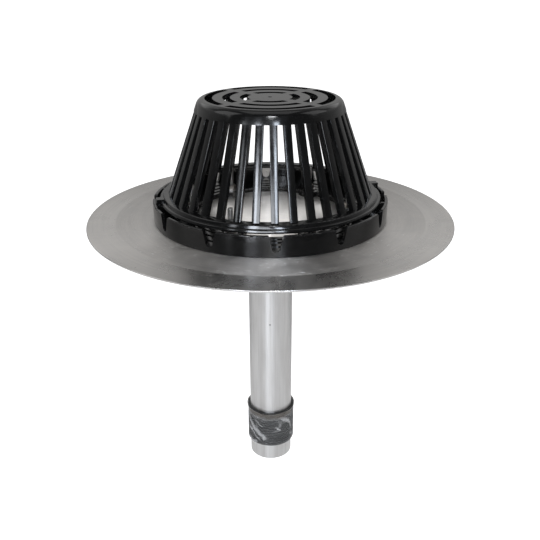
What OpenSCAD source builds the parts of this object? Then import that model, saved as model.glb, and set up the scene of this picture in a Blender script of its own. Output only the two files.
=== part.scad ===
// Retrofit roof drain: a spun flange and stem, a clamping ring held by weld studs,
// a barred dome strainer that rests in the ring, and an expanding seal on the stem.
// Origin: on the axis at the flange's underside, where it lies on the roof deck. +Z is up.
// Azimuths are measured from -Y towards +X.

/* [Flange and stem] */
// Diameter of the flat flange
flange_d = 444.5; // [370:0.5:620]
// Thickness of the spun sheet
sheet_t = 2.3; // [1.6:0.1:3.2]
// Outside diameter of the stem
stem_d = 56.4; // [44:0.2:68]
// Depth of the stem's open end below the flange's underside
stem_drop = 349; // [250:1:480]
// Width of flat flange left bare inside the ring's opening
sump_ledge = 10.4; // [8:0.2:14]
// Slope of the sump's wall below the horizontal, in degrees
sump_slope = 35; // [20:1:60]
// Mid-wall radius of the bend from flange to sump
rim_bend_r = 12; // [6:0.5:20]
// Mid-wall radius of the bend from sump to stem
stem_bend_r = 24; // [10:0.5:32]
// Rounding of the flange's trimmed edge
trim_r = 0.7; // [0.3:0.1:0.8]

/* [Clamping ring] */
// Height of the gravel wall above the flange
ring_h = 25; // [24:0.5:36]
// Thickness of the gravel wall
ring_wall = 4; // [3:0.1:5]
// Thickness of the ring's floor
ring_floor = 6; // [4:0.5:8]
// Width of the ring's floor from its opening to the gravel wall
floor_w = 45; // [38:0.2:56]
// Rounding of the ring's edges
ring_edge_r = 1.4; // [0.6:0.1:1.4]
// Number of weep notches in the gravel wall
notch_count = 12; // [6:1:16]
// Azimuth of the first notch
notch_azimuth = 2.4; // [-15:0.1:15]
// Width of a notch at the top of the wall
notch_top_w = 15; // [10:0.5:20]
// Radius of the round bottom of a notch
notch_bottom_r = 4.6; // [3:0.1:6]
// Height of a notch's lowest point above the floor
notch_sill = 0.3; // [0.1:0.1:3]
// Bevel at the top corners of a notch
notch_bevel = 1.6; // [0.5:0.1:2.5]
// Distances of the two inner raised circles from the edge of the floor's opening
ridge_at = [8.6, 18.6]; // [5:0.2:24]
// Distance of the outer raised circle from the gravel wall
ridge_in = 14; // [10:0.2:18]
// Width of a raised circle
ridge_w = 1.8; // [1:0.1:3]
// Height of a raised circle
ridge_h = 1.1; // [0.5:0.1:2]
// Thickness of a gusset between floor and wall
gusset_t = 3; // [2:0.1:4]
// How far a gusset's foot reaches in past the strainer's foot
gusset_toe = 2; // [0:0.5:5]
// Depth of the strainer's seat below the top of the gravel wall
seat_drop = 1.4; // [1.2:0.1:4]
// Width of the locating step between the seat and the gravel wall
step_w = 3.8; // [3:0.1:9]
// Height of the locating step outside the seat
seat_step_h = 1; // [0.5:0.1:1.2]
// Radius of the lobe of the floor round each stud
lobe_r = 14; // [12:0.5:16]
// Height of the lobes' tops above the floor
lobe_lift = 0.5; // [0.4:0.1:1]
// Depth of the flat sunk in a lobe for its washer
spot_depth = 0.3; // [0.1:0.1:0.8]

/* [Studs, washers and nuts] */
// Distance of the studs' circle out from the edge of the ring's opening
stud_inset = 3.3; // [0:0.1:8]
// Diameter of a stud
stud_d = 6.35; // [5:0.05:8]
// Height of a stud's tip above the flange
stud_h = 37; // [28:0.5:44]
// Width of the weld collar round a stud's foot
collar_w = 0.9; // [0.3:0.1:1.1]
// Height of the weld collar
collar_h = 1; // [0.5:0.1:2]
// Azimuth of the first stud
stud_azimuth = -27.4; // [-40:0.1:-15]
// Angle between the two studs of a pair
pair_angle = 54.9; // [40:0.1:65]
// Outside diameter of a washer
washer_d = 15.9; // [13:0.1:18]
// Thickness of a washer
washer_t = 1.6; // [0.8:0.1:2.4]
// Width of a nut across its flats
nut_af = 11.1; // [10:0.1:13]
// Diameter of the flat end faces of a nut
nut_face_d = 10.5; // [9.5:0.1:11]
// Height of a nut
nut_h = 5.6; // [4:0.1:7]

/* [Dome strainer] */
// Outside diameter of the strainer's foot
foot_d = 268; // [224:0.5:322]
// Thickness of the foot
foot_t = 4.6; // [3:0.1:6]
// Width of the foot's flat underside
foot_w = 9; // [7:0.5:12]
// Setback of the rim from the foot's outer edge
rim_step = 3.6; // [2:0.1:6.5]
// Width of the rim above the foot
rim_w = 13.5; // [12.5:0.5:16]
// Height of the rim's top above the seat
rim_h = 8.4; // [7.6:0.1:12]
// Rounding of the rim's edges
rim_edge_r = 1.5; // [0.6:0.1:2]
// Height of the strainer above its seat
dome_h = 119.6; // [90:0.1:150]
// Setback of the cone of bars from the rim's outer edge
cone_step = 6.6; // [5:0.1:9]
// Diameter that the cone would have at the strainer's top
cone_top_d = 167.6; // [150:0.2:198]
// Rounding between the cone and the flat top
shoulder_r = 9; // [4:0.5:9]
// Depth from the top down to the slots between the bars
band_h = 14; // [11:0.5:20]
// Wall thickness of the band above the slots
band_wall = 7; // [6:0.1:8]
// Height of the steeper lip at the band's lower edge
lip_h = 1.4; // [0.8:0.1:3]
// How far the lip's lower edge lies inside the cone
lip_in = 0.07; // [0.03:0.01:0.3]
// Thickness of the flat top
top_t = 4.5; // [3:0.1:6]
// Number of bars
bar_count = 37; // [24:1:40]
// Azimuth of the first bar
bar_azimuth = 2.3; // [0:0.1:10]
// Width of a bar
bar_w = 7.5; // [5:0.1:9]
// Depth of a bar
bar_depth = 6; // [4:0.1:6]
// Rounding of a bar's two outer edges
bar_edge_r = 1.7; // [0.6:0.1:2.4]
// Setback of the bars' outer faces from the cone
bar_inset = 0.8; // [0.2:0.1:1.2]
// Distance of the outermost slots in the top from the flat top's edge
slot_edge = 1.5; // [1:0.1:6]
// Distance between the circles of slots in the top
slot_pitch = 20.5; // [16:0.5:22]
// Width of a slot in the top
slot_w = 9; // [6:0.1:10]
// Width of the bridges between the slots in the top
bridge_w = 10.5; // [6:0.5:14]
// Radius of the centre mark
pip_r = 2.4; // [1:0.1:4]
// Depth of the centre mark
pip_depth = 1; // [0.5:0.1:2]
// Azimuth of the first of the two lifting tabs
tab_azimuth = -76; // [-90:1:-60]
// Width of a lifting tab
tab_w = 10; // [6:0.5:16]
// Thickness of a lifting tab
tab_t = 5.8; // [3:0.1:6.5]
// How far a lifting tab reaches out past the foot
tab_reach = 4.5; // [2:0.5:5]

/* [Seal] */
// Length of the seal sleeve
seal_len = 52; // [40:1:90]
// Bare stem left below the seal
seal_end_gap = 24; // [5:1:30]
// Wall thickness of the seal sleeve at its ribs
seal_wall = 3.2; // [2:0.1:5]
// Distance between the seal's ribs
seal_pitch = 4; // [3:0.5:8]
// Depth of the grooves between the ribs
seal_groove = 0.8; // [0.4:0.1:1.2]
// Thickness of the protective film round the seal
wrap_t = 0.5; // [0.3:0.1:1]
// Extra radius of the film's flared upper edge
wrap_flare = 1.4; // [0.2:0.1:1.5]

/* [Clearances] */
// Radial clearance of the strainer's foot in the ring
foot_clear = 0.6; // [0.2:0.1:1]
// Radial clearance of a stud in its hole in the ring's floor
hole_clear = 1.5; // [1.2:0.1:2.5]
// Radial clearance of a washer in its sunk flat
spot_clear = 0.4; // [0.2:0.1:1]
// Radial clearance of the seal on the stem and of the film on the seal
sleeve_clear = 0.05; // [0.03:0.01:0.2]
// Radial clearance of a nut's bore on its stud
thread_clear = 0.05; // [0.03:0.01:0.1]
// Radial clearance of a washer's bore on its stud
washer_clear = 0.4; // [0.2:0.1:0.8]

/* [Hidden] */
$fn = 96;
over = 1; // overshoot of a cutter past the face it cuts
pair_count = 3; // pairs of studs, which NODES names one by one
slot_rows = 3; // circles of slots in the top
top_turns = [45, 135]; // directions of the bridges across the top
tab_low = 1; // depth of a tab's top below the rim's
rim_lap = 2.3; // how far the rim's section runs down into the foot's
bar_root = 3.2; // how far a bar runs on into the rim and into the band
flare_h = 3; // height of the film's flared edge

flange_top = sheet_t;
flange_r = flange_d / 2;
stem_r = stem_d / 2;
stem_mid_r = stem_r - sheet_t / 2;

// from the strainer's foot out to the ring's wall, and from there in to the studs and the sump
foot_r = foot_d / 2;
foot_in_r = foot_r - foot_w;
seat_r = foot_r + foot_clear;
ring_in_r = seat_r + step_w;
ring_r = ring_in_r + ring_wall;
ring_bore_r = ring_in_r - floor_w;
stud_circle_r = ring_bore_r + stud_inset;
sump_r = ring_bore_r - sump_ledge;
ridge_r = concat([for (d = ridge_at) ring_bore_r + d], [ring_in_r - ridge_in]);
gusset_step = 360 / notch_count;
stud_azimuths = [for (i = [0:pair_count - 1], j = [0, 1])
    stud_azimuth + i * 360 / pair_count + j * pair_angle];

// the wall's middle line: flange, rim bend, sump wall, stem bend, stem
rim_bend_c = [sump_r, sheet_t / 2 - rim_bend_r];
sump_start = rim_bend_c + rim_bend_r * [-sin(sump_slope), cos(sump_slope)];
sump_run = (sump_start.x - stem_mid_r - stem_bend_r * (1 - sin(sump_slope))) / cos(sump_slope);
sump_end = sump_start - sump_run * [cos(sump_slope), sin(sump_slope)];
stem_bend_c = sump_end + stem_bend_r * [sin(sump_slope), -cos(sump_slope)];

rim_r = foot_r - rim_step;
foot_z = flange_top + ring_h - seat_drop;
rim_z = foot_z + rim_h;
dome_z = foot_z + dome_h;
slot_top_z = dome_z - band_h;
cone_slope = (rim_r - cone_step - cone_top_d / 2) / (dome_z - rim_z);
cone_tilt = atan(cone_slope);
function cone_r(z) = cone_top_d / 2 + (dome_z - z) * cone_slope;
shoulder_c = [cone_r(dome_z - shoulder_r) - shoulder_r / cos(cone_tilt), dome_z - shoulder_r];

washer_z = flange_top + ring_floor + lobe_lift - spot_depth;
nut_z = washer_z + washer_t;
seal_z = -stem_drop + seal_end_gap;
seal_r = stem_r + sleeve_clear + seal_wall;
wrap_in_r = seal_r + sleeve_clear;

// Turns its children to an azimuth, so that their +X points outwards there
module at_azimuth(a) {
    rotate([0, 0, a - 90]) children();
}

// Rectangle from one corner to the opposite one, with its four corners rounded
module round_rect(low, high, r) {
    translate([low.x + r, low.y]) square([high.x - low.x - 2 * r, high.y - low.y]);
    translate([low.x, low.y + r]) square([high.x - low.x, high.y - low.y - 2 * r]);
    for (x = [low.x + r, high.x - r], y = [low.y + r, high.y - r]) translate([x, y]) circle(r);
}

// The same with its outer side leaning in as the cone does; high.x is its width at the foot
module leaning_rect(low, high, r) {
    side = r * [cos(cone_tilt), sin(cone_tilt)];
    foot = [high.x - r, low.y + r];
    head = [foot.x - (high.y - low.y - 2 * r) * tan(cone_tilt), high.y - r];
    polygon([[low.x + r, low.y], [foot.x, low.y], foot + side, head + side, [head.x, high.y],
        [low.x + r, high.y], [low.x, high.y - r], [low.x, low.y + r]]);
    for (c = [foot, head, [low.x + r, low.y + r], [low.x + r, high.y - r]]) translate(c) circle(r);
}

// Region outside and below the spun sheet's surface that lies grow beyond the mid-wall,
// out to radius reach and down to depth drop
module below_sheet(grow, reach, drop) {
    rim_r = rim_bend_r + grow;
    turn_r = stem_bend_r + grow;
    out = [-sin(sump_slope), cos(sump_slope)];
    translate(rim_bend_c) circle(rim_r);
    translate(stem_bend_c) circle(turn_r);
    polygon([[reach, sheet_t / 2 + grow], [rim_bend_c.x, sheet_t / 2 + grow], rim_bend_c,
        rim_bend_c + rim_r * out, stem_bend_c + turn_r * out, stem_bend_c,
        [stem_bend_c.x - turn_r, stem_bend_c.y], [stem_bend_c.x - turn_r, -drop], [reach, -drop]]);
}

// Corner cutter that rounds the flange's upper edge, or its lower one if low
module trim_cutter(low) {
    translate([flange_r - trim_r, low ? trim_r : sheet_t - trim_r]) difference() {
        translate([0, low ? -trim_r - over : 0]) square(trim_r + over);
        circle(trim_r);
    }
}

module drain_body() {
    color("silver") rotate_extrude() difference() {
        below_sheet(sheet_t / 2, flange_r, stem_drop);
        below_sheet(-sheet_t / 2, flange_r + over, stem_drop + over);
        trim_cutter(false);
        trim_cutter(true);
    }
}

// Outline of a notch in the gravel wall: round at the bottom, wider and bevelled at the top
module notch_outline() {
    top = flange_top + ring_h;
    low = flange_top + ring_floor + notch_sill + notch_bottom_r;
    half = notch_top_w / 2;
    translate([0, low]) circle(notch_bottom_r);
    polygon([[-notch_bottom_r, low], [notch_bottom_r, low], [half, top - notch_bevel],
        [half + notch_bevel + over, top + over], [-half - notch_bevel - over, top + over],
        [-half, top - notch_bevel]]);
}

// Rib from floor to wall that carries the strainer's seat and the step outside it
module gusset() {
    floor_z = flange_top + ring_floor - over;
    step_z = foot_z + seat_step_h;
    rotate([90, 0, 0]) translate([0, 0, -gusset_t / 2]) linear_extrude(gusset_t)
        polygon([[foot_in_r - gusset_toe, floor_z], [foot_in_r, foot_z], [seat_r, foot_z],
            [seat_r, step_z], [ring_in_r + over, step_z], [ring_in_r + over, floor_z]]);
}

module clamp_ring() {
    color("#151515") difference() {
        union() {
            rotate_extrude() {
                round_rect([ring_bore_r, flange_top], [ring_in_r + ring_wall / 2, flange_top + ring_floor],
                    ring_edge_r);
                round_rect([ring_in_r, flange_top], [ring_r, flange_top + ring_h], ring_edge_r);
                for (r = ridge_r) translate([r - ridge_w / 2, flange_top + over])
                    square([ridge_w, ring_floor - over + ridge_h]);
            }
            for (a = stud_azimuths) at_azimuth(a)
                translate([stud_circle_r, 0, flange_top]) cylinder(r = lobe_r, h = ring_floor + lobe_lift);
            for (i = [0:notch_count - 1]) at_azimuth(notch_azimuth + (i + 0.5) * gusset_step) gusset();
        }
        for (i = [0:notch_count - 1]) at_azimuth(notch_azimuth + i * gusset_step)
            translate([ring_in_r - over, 0, 0]) rotate([90, 0, 90]) linear_extrude(ring_wall + 2 * over)
                notch_outline();
        for (a = stud_azimuths) at_azimuth(a) translate([stud_circle_r, 0, 0]) {
            cylinder(r = stud_d / 2 + hole_clear, h = washer_z + over);
            translate([0, 0, washer_z]) cylinder(r = washer_d / 2 + spot_clear, h = ring_h);
        }
    }
}

// One bar's section, its two outer edges rounded; +X is outwards
module bar_section() {
    half = bar_w / 2 - bar_edge_r;
    translate([-bar_depth, -bar_w / 2]) square([bar_depth - bar_edge_r, bar_w]);
    translate([-bar_depth, -half]) square([bar_depth, 2 * half]);
    for (y = [-half, half]) translate([-bar_edge_r, y]) circle(bar_edge_r);
}

module bars() {
    run = (slot_top_z - rim_z + 2 * bar_root) / cos(cone_tilt);
    foot = rim_z - bar_root;
    for (i = [0:bar_count - 1]) at_azimuth(bar_azimuth + i * 360 / bar_count)
        translate([cone_r(foot), 0, foot]) rotate([0, -cone_tilt, 0])
            translate([-bar_inset, 0, 0]) linear_extrude(run) bar_section();
}

// Half section of the cap above the slots: lip, band, rounded shoulder and flat top
module cap_profile() {
    wall_in = band_wall / cos(cone_tilt);
    under_z = dome_z - top_t;
    lip_z = slot_top_z + lip_h;
    difference() {
        union() {
            polygon([[0, slot_top_z], [cone_r(slot_top_z) - lip_in, slot_top_z], [cone_r(lip_z), lip_z],
                shoulder_c + shoulder_r * [cos(cone_tilt), sin(cone_tilt)], shoulder_c,
                [shoulder_c.x, dome_z], [0, dome_z]]);
            translate(shoulder_c) circle(shoulder_r);
        }
        polygon([[-over, foot_z], [rim_r, foot_z], [rim_r, slot_top_z],
            [cone_r(slot_top_z) - wall_in, slot_top_z], [cone_r(under_z) - wall_in, under_z],
            [-over, under_z]]);
    }
}

// Circles of slots through the flat top, counted inwards from its edge
module top_slots() {
    translate([0, 0, dome_z - top_t - over]) difference() {
        for (i = [0:slot_rows - 1]) difference() {
            out_r = shoulder_c.x - slot_edge - i * slot_pitch;
            cylinder(r = out_r, h = top_t + 2 * over);
            translate([0, 0, -over]) cylinder(r = out_r - slot_w, h = top_t + 4 * over);
        }
        for (a = top_turns) rotate([0, 0, a]) translate([-rim_r, -bridge_w / 2, -over])
            cube([2 * rim_r, bridge_w, top_t + 4 * over]);
    }
}

module dome_strainer() {
    color("#121212") {
        rotate_extrude() {
            leaning_rect([foot_in_r, foot_z], [foot_r, foot_z + foot_t], rim_edge_r);
            leaning_rect([rim_r - rim_w, foot_z + foot_t - rim_lap], [rim_r, rim_z], rim_edge_r);
        }
        bars();
        difference() {
            rotate_extrude() cap_profile();
            top_slots();
            translate([0, 0, dome_z - pip_depth]) cylinder(r = pip_r, h = pip_depth + over);
        }
        for (a = [0, 180]) at_azimuth(tab_azimuth + a)
            translate([rim_r - over, -tab_w / 2, rim_z - tab_low - tab_t])
                cube([foot_r + tab_reach - rim_r + over, tab_w, tab_t]);
    }
}

module seal_sleeve() {
    groove_w = seal_pitch / 2;
    groove_r = seal_r - seal_groove;
    color("#2c2c2e") rotate_extrude() difference() {
        translate([stem_r + sleeve_clear, seal_z]) square([seal_wall, seal_len]);
        for (z = [seal_pitch:seal_pitch:seal_len - seal_pitch])
            translate([groove_r, seal_z + z - groove_w / 2]) square([seal_groove + over, groove_w]);
    }
}

module seal_wrap() {
    top = seal_z + seal_len;
    out_r = wrap_in_r + wrap_t;
    color("#5a5a5c", 0.6) rotate_extrude()
        polygon([[wrap_in_r, seal_z], [out_r, seal_z], [out_r, top - flare_h], [out_r + wrap_flare, top],
            [wrap_in_r + wrap_flare, top], [wrap_in_r, top - flare_h]]);
}

module stud(i) {
    tip = stud_d / 6;
    color("#9a9a96") at_azimuth(stud_azimuths[i]) translate([stud_circle_r, 0, flange_top]) {
        cylinder(r = stud_d / 2 + collar_w, h = collar_h);
        cylinder(d = stud_d, h = stud_h - tip);
        translate([0, 0, stud_h - tip]) cylinder(d1 = stud_d, d2 = stud_d - 2 * tip, h = tip);
    }
}

module washer(i) {
    color("#a8a8a4") at_azimuth(stud_azimuths[i]) translate([stud_circle_r, 0, washer_z]) difference() {
        cylinder(d = washer_d, h = washer_t);
        translate([0, 0, -over]) cylinder(r = stud_d / 2 + washer_clear, h = washer_t + 2 * over);
    }
}

// A hexagon nut, its corners turned off at 30 degrees at top and bottom
module nut(i) {
    face_r = nut_face_d / 2;
    corner_r = nut_af / 2 / cos(30) + over;
    bevel = (corner_r - face_r) * tan(30);
    color("#8c8c80") at_azimuth(stud_azimuths[i]) translate([stud_circle_r, 0, nut_z]) difference() {
        intersection() {
            cylinder(d = nut_af / cos(30), h = nut_h, $fn = 6);
            rotate_extrude() polygon([[0, 0], [face_r, 0], [corner_r, bevel],
                [corner_r, nut_h - bevel], [face_r, nut_h], [0, nut_h]]);
        }
        translate([0, 0, -over]) cylinder(r = stud_d / 2 + thread_clear, h = nut_h + 2 * over);
    }
}

drain_body();
clamp_ring();
dome_strainer();
seal_sleeve();
seal_wrap();
for (i = [0:2 * pair_count - 1]) {
    stud(i);
    washer(i);
    nut(i);
}
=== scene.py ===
"""Looks of the flat roof drain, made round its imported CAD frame. Metres, +Z up, -Y to the viewer."""
import math

import bmesh
import bpy
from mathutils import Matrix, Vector, noise


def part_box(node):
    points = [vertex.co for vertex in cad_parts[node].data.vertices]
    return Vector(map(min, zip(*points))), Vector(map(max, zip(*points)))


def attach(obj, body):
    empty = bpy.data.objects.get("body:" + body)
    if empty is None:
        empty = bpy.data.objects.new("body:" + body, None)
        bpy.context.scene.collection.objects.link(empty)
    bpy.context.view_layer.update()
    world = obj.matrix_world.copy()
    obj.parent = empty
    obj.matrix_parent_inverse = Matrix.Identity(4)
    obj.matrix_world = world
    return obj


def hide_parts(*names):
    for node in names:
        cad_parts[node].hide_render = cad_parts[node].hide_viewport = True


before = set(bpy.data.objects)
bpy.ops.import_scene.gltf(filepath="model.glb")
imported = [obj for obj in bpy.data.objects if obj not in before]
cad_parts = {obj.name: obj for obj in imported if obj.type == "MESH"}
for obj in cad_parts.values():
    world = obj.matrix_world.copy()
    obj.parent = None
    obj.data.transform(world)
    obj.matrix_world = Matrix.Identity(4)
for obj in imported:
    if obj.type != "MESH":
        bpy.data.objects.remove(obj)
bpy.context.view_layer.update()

MM = 0.001
STUD_COUNT = 6


class Nodes:
    """A node tree whose nodes are made and linked one call at a time."""

    def __init__(self, tree, coordinates):
        self.tree = tree
        self.place = self.node("ShaderNodeTexCoord").outputs[coordinates]

    def set(self, node, inputs):
        for key, value in inputs.items():
            socket = node.inputs[key if isinstance(key, int) else key.replace("_", " ")]
            if isinstance(value, bpy.types.NodeSocket):
                self.tree.links.new(value, socket)
            else:
                socket.default_value = value

    def node(self, kind, options=None, **inputs):
        made = self.tree.nodes.new(kind)
        for key, value in (options or {}).items():
            setattr(made, key, value)
        self.set(made, inputs)
        return made

    def math(self, operation, a, b=0.0):
        made = self.node("ShaderNodeMath", {"operation": operation})
        self.set(made, {0: a, 1: b})
        return made.outputs[0]

    def plus(self, a, b):
        return self.math("ADD", a, b)

    def minus(self, a, b):
        return self.math("SUBTRACT", a, b)

    def times(self, a, b):
        return self.math("MULTIPLY", a, b)

    def xyz(self, vector):
        parts = self.node("ShaderNodeSeparateXYZ", Vector=vector)
        return parts.outputs[0], parts.outputs[1], parts.outputs[2]

    def join(self, x, y, z):
        return self.node("ShaderNodeCombineXYZ", X=x, Y=y, Z=z).outputs[0]

    def ramp(self, factor, low, high, out_low=0.0, out_high=1.0):
        made = self.node("ShaderNodeMapRange", {"interpolation_type": "SMOOTHSTEP"}, Value=factor,
                         From_Min=low, From_Max=high, To_Min=out_low, To_Max=out_high)
        return made.outputs[0]

    def seen_by_camera(self):
        return self.node("ShaderNodeLightPath").outputs["Is Camera Ray"]


class Shader(Nodes):
    """A material on one Principled shader."""

    def __init__(self, name, **surface):
        self.material = bpy.data.materials.new(name)
        self.material.use_nodes = True
        super().__init__(self.material.node_tree, "Object")
        self.surface = self.tree.nodes["Principled BSDF"]
        self.set(self.surface, surface)

    def noise(self, vector, scale, detail=4.0, roughness=0.55, distortion=0.0):
        made = self.node("ShaderNodeTexNoise", Vector=vector, Scale=scale, Detail=detail,
                         Roughness=roughness, Distortion=distortion)
        return made.outputs[0]

    def mix(self, factor, colour_a, colour_b):
        made = self.node("ShaderNodeMix", {"data_type": "RGBA"})
        self.set(made, {0: factor, 6: colour_a, 7: colour_b})
        return made.outputs[2]

    def bump(self, height, strength, distance, under=None):
        made = self.node("ShaderNodeBump", Strength=strength, Distance=distance, Height=height)
        if under is not None:
            self.set(made, {"Normal": under})
        return made.outputs[0]

    def attribute(self, name):
        return self.node("ShaderNodeAttribute", {"attribute_name": name}).outputs["Fac"]

    def polar(self):
        """Distance from the axis, the direction round it as two parts, and the height."""
        x, y, z = self.xyz(self.place)
        r = self.math("SQRT", self.plus(self.times(x, x), self.times(y, y)))
        return r, self.math("DIVIDE", x, r), self.math("DIVIDE", y, r), z

    def turned_place(self, along, around):
        """Distance along the turned profile and direction round the axis, each with its scale."""
        r, east, north, z = self.polar()
        return self.join(self.times(self.plus(r, z), along),
                         self.times(east, around), self.times(north, around))

    def drawn_place(self, around, along):
        """Direction round the axis and height, each with its scale."""
        _, east, north, z = self.polar()
        return self.join(self.times(east, around), self.times(north, around), self.times(z, along))


def grey(value, warm=0.0):
    return (value * (1 + warm), value, value * (1 - warm), 1.0)


def spun_aluminium():
    """Mill-finish sheet: spun rings and scratches on the flange, drawn streaks on the stem, and a
    painted shade of a small dent on the stem's front.
    """
    stem_from_z, stem_full_z = -0.045, -0.06
    rim_r, rim_blend, rim_dish = 0.1885, 0.001, math.radians(3.0)
    # place and size of a small dark spot painted on the stem's front: painted shade of a dent that is
    # not in the mesh
    dent_shade_place, dent_shade_inner_r, dent_shade_outer_r = (-0.0008, -0.0282, -0.138), 0.0006, 0.0014
    s = Shader("spun_aluminium", Metallic=1.0, Anisotropic=0.9, Anisotropic_Rotation=0.25)
    r, _, _, z = s.polar()
    on_stem = s.ramp(z, stem_from_z, stem_full_z)
    off_stem = s.minus(1.0, on_stem)
    on_rim = s.ramp(r, rim_r - rim_blend, rim_r + rim_blend)

    rings = s.noise(s.turned_place(700.0, 2.0), 1.0, 3.0)
    bands = s.noise(s.turned_place(90.0, 1.6), 1.0, 3.0)
    smudge = s.noise(s.place, 22.0, 5.0, 0.6, 0.8)
    scratch = s.noise(s.turned_place(800.0, 26.0), 1.0, 2.0, 0.5, 0.2)
    streaks = s.noise(s.drawn_place(26.0, 5.0), 1.0, 3.0, 0.6)
    patches = s.noise(s.drawn_place(3.0, 12.0), 1.0, 3.0)

    spun = s.plus(s.times(s.plus(bands, rings), 0.25), s.times(smudge, 0.5))
    drawn = s.plus(s.times(streaks, 0.5), s.times(patches, 0.5))
    fleck = s.times(s.times(s.ramp(scratch, 0.62, 0.70), s.ramp(smudge, 0.42, 0.6)),
                    s.minus(1.0, on_rim))

    flange_tone = s.mix(s.ramp(spun, 0.36, 0.64), grey(0.555, 0.02), grey(0.66, 0.03))
    stem_tone = s.mix(s.ramp(drawn, 0.36, 0.64), grey(0.56, 0.02), grey(0.68, 0.012))
    from_dent_shade = s.node("ShaderNodeVectorMath", {"operation": "DISTANCE"})
    s.set(from_dent_shade, {0: s.place, 1: dent_shade_place})
    off_dent_shade = s.ramp(from_dent_shade.outputs["Value"], dent_shade_inner_r, dent_shade_outer_r)
    # darkens the stem at that spot: painted shade of the dent
    colour = s.mix(off_dent_shade, grey(0.16), s.mix(on_stem, flange_tone, stem_tone))
    colour = s.mix(s.times(fleck, off_stem), colour, grey(0.9))

    flange_rough = s.minus(s.ramp(smudge, 0.3, 0.7, 0.37, 0.43), s.times(on_rim, 0.12))
    flange_rough = s.plus(flange_rough, s.times(fleck, 0.4))
    stem_rough = s.ramp(streaks, 0.3, 0.7, 0.29, 0.34)
    rough = s.plus(s.times(flange_rough, off_stem), s.times(stem_rough, on_stem))

    rim_rise = s.times(s.math("MAXIMUM", s.minus(r, rim_r), 0.0), math.tan(rim_dish))
    relief = s.bump(bands, 0.1, 0.00002, s.bump(rim_rise, 1.0, 1.0))
    tangent = s.node("ShaderNodeTangent", {"direction_type": "RADIAL", "axis": "Z"}).outputs[0]
    s.set(s.surface, {"Base Color": colour, "Roughness": rough, "Tangent": tangent,
                      "Normal": relief})
    return s.material


def black_plastic(name, tone, rough_low, rough_high, wave):
    """Injection-moulded black plastic with a slight orange peel and dull handling marks."""
    s = Shader(name)
    marks = s.noise(s.place, 45.0, 5.0, 0.6, 0.4)
    dust = s.noise(s.place, 900.0, 2.0)
    peel = s.noise(s.place, 130.0, 2.0, 0.5)
    sag = s.noise(s.place, 22.0, 1.0, 0.5)
    colour = s.mix(s.ramp(marks, 0.5, 0.8), grey(tone), grey(tone * 1.6))
    rough = s.plus(s.ramp(marks, 0.4, 0.75, rough_low, rough_high),
                   s.ramp(dust, 0.4, 0.8, 0.0, 0.02))
    relief = s.bump(peel, 0.15, 0.00004 * wave, s.bump(sag, 0.3, 0.0005 * wave))
    s.set(s.surface, {"Base Color": colour, "Roughness": rough, "Normal": relief})
    return s.material


def plated_steel(name, tone, warm, rough):
    """Zinc-plated steel with fine duller spots."""
    s = Shader(name, Metallic=1.0)
    spots = s.noise(s.place, 700.0, 4.0, 0.6)
    colour = s.mix(s.ramp(spots, 0.35, 0.7), grey(tone, warm), grey(tone * 0.75, warm * 1.6))
    s.set(s.surface, {"Base Color": colour,
                      "Roughness": s.ramp(spots, 0.3, 0.7, rough, rough + 0.15),
                      "Normal": s.bump(spots, 0.3, 0.00004)})
    return s.material


def ribbed_rubber():
    """Black rubber with fine ribs moulded round it and a little dust."""
    rib_pitch = 3.3 * MM
    s = Shader("seal_rubber")
    ribs = s.math("SINE", s.times(s.xyz(s.place)[2], 2 * math.pi / rib_pitch))
    grain = s.noise(s.place, 260.0, 4.0, 0.65)
    dust = s.noise(s.place, 60.0, 4.0, 0.6, 0.8)
    s.set(s.surface, {"Base Color": s.mix(s.ramp(dust, 0.45, 0.7), grey(0.018), grey(0.06)),
                      "Roughness": s.ramp(grain, 0.3, 0.7, 0.28, 0.5),
                      "Normal": s.bump(ribs, 0.8, 0.0003, s.bump(grain, 0.4, 0.0001))})
    return s.material


def clear_film():
    """Clear film that turns milky where it is folded, partly the folds' own whitening and partly a
    painted sheen and glints for the light they catch, and brownish where its end is wound double.
    """
    s = Shader("wrap_film")
    haze = s.noise(s.place, 60.0, 4.0, 0.6, 1.0)
    double = s.attribute("double")
    # milky along the folds: the film's own whitening there, together with a painted sheen and glints
    # for the light the folds catch
    milky_fold_sheen = s.times(s.attribute("fold_sheen"), s.ramp(haze, 0.35, 0.6, 0.5, 1.0))
    alpha = s.plus(s.times(milky_fold_sheen, 0.7), s.ramp(haze, 0.5, 0.75, 0.05, 0.3))
    alpha = s.math("MINIMUM", s.plus(alpha, s.times(double, 0.45)), 1.0)
    s.set(s.surface, {"Base Color": s.mix(double, grey(0.55), grey(0.14, 0.12)),
                      "Roughness": s.ramp(haze, 0.3, 0.7, 0.06, 0.2), "Alpha": alpha})
    return s.material


def add_mesh(name, points, faces, material, smooth=True):
    mesh = bpy.data.meshes.new(name)
    mesh.from_pydata(points, [], faces)
    mesh.materials.append(material)
    for face in mesh.polygons:
        face.use_smooth = smooth
    piece = bpy.data.objects.new(name, mesh)
    bpy.context.collection.objects.link(piece)
    return piece


def tube_faces(rows, around):
    return [(row * around + i, row * around + (i + 1) % around,
             (row + 1) * around + (i + 1) % around, (row + 1) * around + i)
            for row in range(rows - 1) for i in range(around)]


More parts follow.
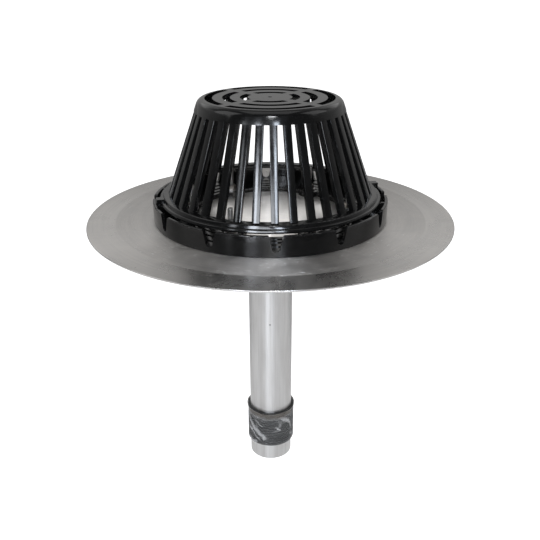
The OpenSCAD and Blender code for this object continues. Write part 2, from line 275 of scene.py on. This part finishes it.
def threaded_stud(number, material):
    """Stud with a rolled 1/4-20 thread from its weld collar to its bevelled tip."""
    node = f"stud_{number}"
    low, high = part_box(node)
    centre = (low + high) / 2
    collar_r, collar_h = (high.x - low.x) / 2, 1.0 * MM
    crest_r, depth, pitch, bevel = 3.17 * MM, 0.55 * MM, 1.27 * MM, 1.1 * MM
    groove_half = 0.38  # of the pitch
    around, per_turn = 20, 6
    rings = [[point] * around for point in ((collar_r, low.z), (collar_r, low.z + 0.6 * collar_h),
                                            (crest_r, low.z + collar_h))]
    run = high.z - bevel - low.z - collar_h
    rows = int(run / pitch * per_turn)
    for row in range(rows + 1):
        z = low.z + collar_h + run * row / rows
        ring = []
        for i in range(around):
            phase = ((z - low.z) / pitch - i / around) % 1.0
            groove = max(0.0, 1.0 - abs(phase - 0.5) / groove_half)
            ring.append((crest_r - depth * groove, z))
        rings.append(ring)
    rings.append([(crest_r - depth, high.z)] * around)
    verts = []
    for ring in rings:
        for i, (r, z) in enumerate(ring):
            a = 2 * math.pi * i / around
            verts.append((centre.x + r * math.cos(a), centre.y + r * math.sin(a), z))
    last = (len(rings) - 1) * around
    faces = tube_faces(len(rings), around)
    faces.append(tuple(range(around - 1, -1, -1)))
    faces.append(tuple(range(last, last + around)))
    stud = add_mesh(f"threaded_{node}", verts, faces, material)
    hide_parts(node)
    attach(stud, "root")


def crease(around, up, start, end, half_width):
    """How far a point of the unrolled film is up a crease, 1 on its line from start to end; mm."""
    run = (end[0] - start[0], end[1] - start[1])
    share = ((around - start[0]) * run[0] + (up - start[1]) * run[1]) / (run[0] ** 2 + run[1] ** 2)
    share = min(1.0, max(0.0, share))
    gap = math.hypot(around - start[0] - share * run[0], up - start[1] - share * run[1])
    return max(0.0, 1.0 - gap / half_width)


def wrinkled_film(material):
    """Thin clear film wound round the seal: creases, a flared upper edge and a ragged lower one."""
    low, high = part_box("seal_wrap")
    skin_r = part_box("seal_sleeve")[1].x + 0.15 * MM
    height = (high.z - low.z) / MM
    columns, rows = 260, 90
    thickness = 0.12 * MM
    crease_h, slack_h, flare_h, lip_h, ragged_h = 0.7, 0.4, 1.1, 0.5, 0.9  # mm
    flare_from, lip_to, double_from = 0.93, 0.05, 0.78  # shares of the height
    waver_h, double_blend = 2.0, 6.0  # mm
    # each: start and end as (distance round from the front, height), half width, all in mm
    creases = [((-36, 34), (-9, 12), 4.2), ((-33, 22), (-17, 7), 1.3), ((-24, 37), (-12, 30), 1.1),
               ((13, 43), (27, 36), 3.0), ((24, 41), (33, 22), 1.2), ((-40, 4), (-22, 3), 2.2),
               ((6, 30), (13, 24), 1.0), ((30, 12), (38, 8), 2.0), ((60, 35), (82, 14), 3.5),
               ((-75, 38), (-60, 18), 3.0), ((95, 20), (112, 34), 2.5)]
    verts, fold_sheens, doubles = [], [], []
    for row in range(rows + 1):
        v = row / rows
        for i in range(columns):
            a = 2 * math.pi * i / columns
            front = (a + math.pi / 2 + math.pi) % (2 * math.pi) - math.pi
            place = Vector((math.cos(a) * 1.6, math.sin(a) * 1.6, v * 2.2))
            waver = waver_h * noise.noise(place * 3.0)
            around, up = front * skin_r / MM + waver, v * height
            folded = max(crease(around, up + waver, *line) for line in creases)
            slack = max(0.0, noise.noise(place * 1.7 + Vector((5.0, 0.0, 0.0))))
            flare = max(0.0, (v - flare_from) / (1 - flare_from)) ** 2
            lip = max(0.0, (lip_to - v) / lip_to)
            swell = crease_h * folded ** 2 + slack_h * slack + flare_h * flare + lip_h * lip
            r = skin_r + swell * MM
            edge = Vector((math.cos(a) * 2.5, math.sin(a) * 2.5, 9.0 * round(v)))
            ragged = ragged_h * MM * noise.noise(edge) * abs(2 * v - 1) ** 3
            verts.append((r * math.cos(a), r * math.sin(a), low.z + (high.z - low.z) * v + ragged))
            # the fold mask also tells the material where to paint the folds' sheen and glints
            fold_sheens.append(folded ** 0.7)
            double = (up - double_from * height - 1.5 * waver) / double_blend
            doubles.append(min(1.0, max(0.0, double)))
    film = add_mesh("seal_film", verts, tube_faces(rows + 1, columns), material)
    for name, values in (("fold_sheen", fold_sheens), ("double", doubles)):
        film.data.attributes.new(name, "FLOAT", "POINT").data.foreach_set("value", values)
    thick = film.modifiers.new("thickness", "SOLIDIFY")
    thick.thickness = thickness
    thick.offset = 1.0
    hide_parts("seal_wrap")
    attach(film, "root")


def bar_section():
    """Outline of a bar with a crowned outer face and small edges, as (across, out) in mm."""
    half, edge, depth, proud, crown, back_bevel = 4.25, 0.45, 6.05, 0.2, 0.25, 0.3
    face = []
    for k in range(-4, 5):
        across = k / 4 * (half - edge)
        face.append((across, proud - crown * (across / half) ** 2))
    corner = (half - edge, face[-1][1] - edge)
    right = [(corner[0] + edge * math.cos(math.radians(t)),
              corner[1] + edge * math.sin(math.radians(t))) for t in (60, 30, 0)]
    right += [(half, back_bevel - depth), (half - back_bevel, -depth)]
    return face + right + [(-across, out) for across, out in reversed(right)]


def leaning_bars(material):
    """All the strainer's bars as closed bodies that reach a little into its rim and its band."""
    low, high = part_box("dome_strainer")
    bar_count, first_bar, inset, root = 37, 2.3, 0.8 * MM, 1.0 * MM
    rim_z, slot_top_z = low.z + 8.4 * MM, high.z - 14 * MM
    cone_foot_r, cone_top_r = 123.8 * MM, 83.8 * MM
    slope = (cone_foot_r - cone_top_r) / (high.z - rim_z)
    tilt = math.atan(slope)
    run = (slot_top_z - rim_z + 2 * root) / math.cos(tilt)
    section = bar_section()
    count = len(section)
    verts, faces = [], []
    for i in range(bar_count):
        a = math.radians(first_bar + i * 360 / bar_count)
        out = Vector((math.sin(a), -math.cos(a), 0.0))
        side = Vector((math.cos(a), math.sin(a), 0.0))
        outwards = out * math.cos(tilt) + Vector((0, 0, math.sin(tilt)))
        upwards = Vector((0, 0, math.cos(tilt))) - out * math.sin(tilt)
        foot = out * (cone_foot_r + slope * root) + Vector((0, 0, rim_z - root)) - outwards * inset
        first = len(verts)
        for end in (0.0, run):
            verts += [foot + upwards * end + side * (u * MM) + outwards * (v * MM)
                      for u, v in section]
        faces += [(first + k, first + (k + 1) % count,
                   first + count + (k + 1) % count, first + count + k) for k in range(count)]
        faces.append(tuple(first + k for k in reversed(range(count))))
        faces.append(tuple(first + count + k for k in range(count)))
    return add_mesh("bar_tool", verts, faces, material)


def crowned_strainer(material):
    """The strainer united with bars a little wider than its CAD ones, their outer faces crowned."""
    weld_distance, flat_normal_z, sharp_angle = 1e-6, 0.999, math.radians(28)
    bars = leaning_bars(material)
    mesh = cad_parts["dome_strainer"].data.copy()
    if "custom_normal" in mesh.attributes:  # they would not fit the united faces
        mesh.attributes.remove(mesh.attributes["custom_normal"])
    work = bmesh.new()
    for source in (mesh, bars.data):
        work.clear()
        work.from_mesh(source)
        bmesh.ops.remove_doubles(work, verts=work.verts, dist=weld_distance)
        bmesh.ops.recalc_face_normals(work, faces=work.faces)
        work.to_mesh(source)
    work.free()
    strainer = bpy.data.objects.new("strainer", mesh)
    bpy.context.collection.objects.link(strainer)
    join = strainer.modifiers.new("join", "BOOLEAN")
    join.operation, join.solver, join.object = "UNION", "EXACT", bars
    bpy.context.view_layer.update()
    whole = strainer.evaluated_get(bpy.context.evaluated_depsgraph_get())
    strainer.data = bpy.data.meshes.new_from_object(whole)
    strainer.modifiers.clear()
    bpy.data.objects.remove(bars)
    strainer.data.materials.clear()
    strainer.data.materials.append(material)
    for face in strainer.data.polygons:
        face.material_index = 0
        face.use_smooth = abs(face.normal.z) < flat_normal_z
    strainer.data.set_sharp_from_angle(angle=sharp_angle)
    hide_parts("dome_strainer")
    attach(strainer, "root")


def dress(node, material):
    """Gives a CAD node its finish."""
    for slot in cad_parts[node].material_slots:
        slot.material = material


def stage_floor():
    """A white floor at the stem's end, whose own light on the part fades towards the back."""
    half = 40.0
    dim_y, bright_y, dim, bright = 0.35, 0.0, 0.06, 0.34
    s = Shader("floor_white", Roughness=0.8, Base_Color=grey(0.85), Emission_Color=grey(1.0))
    seen = s.seen_by_camera()
    unseen_level = s.ramp(s.xyz(s.place)[1], dim_y, bright_y, dim, bright)
    level = s.plus(seen, s.times(unseen_level, s.minus(1.0, seen)))
    s.set(s.surface, {"Emission Strength": level})
    corners = [(-half, -half, 0), (half, -half, 0), (half, half, 0), (-half, half, 0)]
    floor = add_mesh("floor", corners, [(0, 1, 2, 3)], s.material, False)
    floor.location.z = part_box("drain_body")[0].z


def area_light(name, azimuth, elevation, width, height, power, colour=(1, 1, 1), distance=2.6):
    """A soft panel that faces the strainer, its azimuth measured from -Y towards +X."""
    a, e = math.radians(azimuth), math.radians(elevation)
    aim = Vector((0.0, 0.0, 0.05))
    out = Vector((math.sin(a) * math.cos(e), -math.cos(a) * math.cos(e), math.sin(e)))
    light = bpy.data.lights.new(name, "AREA")
    light.shape = "RECTANGLE"
    light.size, light.size_y = width, height
    light.energy = power
    light.color = colour
    lamp = bpy.data.objects.new(name, light)
    lamp.location = aim + out * distance
    lamp.rotation_mode = "QUATERNION"
    lamp.rotation_quaternion = (-out).to_track_quat("-Z", "Y")
    bpy.context.collection.objects.link(lamp)


def room():
    """A pale wall behind the part and a dim room in front and overhead."""
    world = bpy.data.worlds.new("studio")
    bpy.context.scene.world = world
    world.use_nodes = True
    s = Nodes(world.node_tree, "Generated")
    _, north, up = s.xyz(s.place)
    behind = s.ramp(north, -0.5, 0.6, 0.05, 0.60)
    wall_foot = s.ramp(up, 0.18, 0.36, 0.65, 1.0)
    wall_top = s.ramp(up, 0.42, 0.62, 1.0, 0.35)
    level = s.node("ShaderNodeMix", {"data_type": "FLOAT"})
    s.set(level, {0: s.seen_by_camera(), 2: s.times(behind, s.times(wall_foot, wall_top)), 3: 1.0})
    s.set(world.node_tree.nodes["Background"], {"Color": (1.0, 0.995, 0.985, 1.0),
                                                "Strength": level.outputs[0]})


def studio_lights():
    """Window panes in front, soft panels all round, and a small panel down in the sump."""
    window = (0.90, 0.94, 1.0)
    area_light("right_pane", 9.5, 22, 0.30, 0.44, 10, (0.80, 0.88, 1.0))
    area_light("left_pane", -17.5, 18, 0.36, 0.56, 14, (0.86, 0.91, 1.0))
    area_light("middle_pane", -5, 17, 0.72, 0.40, 9, window)
    area_light("far_pane", -38, 20, 0.25, 0.4, 1.6, window)
    area_light("key", 3, 36, 0.42, 0.3, 11, (0.96, 0.98, 1.0))
    area_light("left_soft", -80, 40, 1.4, 1.4, 7)
    area_light("right_soft", 85, 40, 1.4, 1.4, 6)
    area_light("back_right", 140, 34, 1.2, 1.2, 2.1)
    area_light("back_left", -140, 34, 1.2, 1.2, 1.8)
    area_light("top_soft", 0, 88, 2.0, 2.0, 8)
    area_light("sump_glow", 0, 90, 0.11, 0.11, 0.06, distance=-0.035)


def photo_camera():
    """Camera in front of the part and above its flange, turned down towards the stem."""
    forward, above_flange = 0.83416, 0.29013
    pitch, roll = math.radians(66.319), math.radians(-0.165)
    data = bpy.data.cameras.new("camera")
    data.lens = 47.37
    data.sensor_width = 36.0
    camera = bpy.data.objects.new("camera", data)
    camera.location = (-0.0006, -forward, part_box("drain_body")[1].z + above_flange)
    camera.rotation_mode = "XYZ"
    camera.rotation_euler = (pitch, 0.0, 0.0)
    camera.rotation_euler.rotate_axis("Z", roll)
    bpy.context.collection.objects.link(camera)
    bpy.context.scene.camera = camera


photo_camera()
stage_floor()
room()
studio_lights()
bpy.context.scene.view_settings.view_transform = "Standard"

dress("drain_body", spun_aluminium())
dress("clamp_ring", black_plastic("ring_plastic", 0.006, 0.09, 0.2, 1.0))
crowned_strainer(black_plastic("dome_plastic", 0.006, 0.11, 0.2, 1.1))
dress("seal_sleeve", ribbed_rubber())
wrinkled_film(clear_film())
stud_steel = plated_steel("stud_steel", 0.55, 0.02, 0.3)
washer_steel = plated_steel("washer_steel", 0.62, 0.01, 0.25)
nut_steel = plated_steel("nut_steel", 0.42, 0.06, 0.32)
for number in range(1, STUD_COUNT + 1):
    threaded_stud(number, stud_steel)
    dress(f"washer_{number}", washer_steel)
    dress(f"nut_{number}", nut_steel)
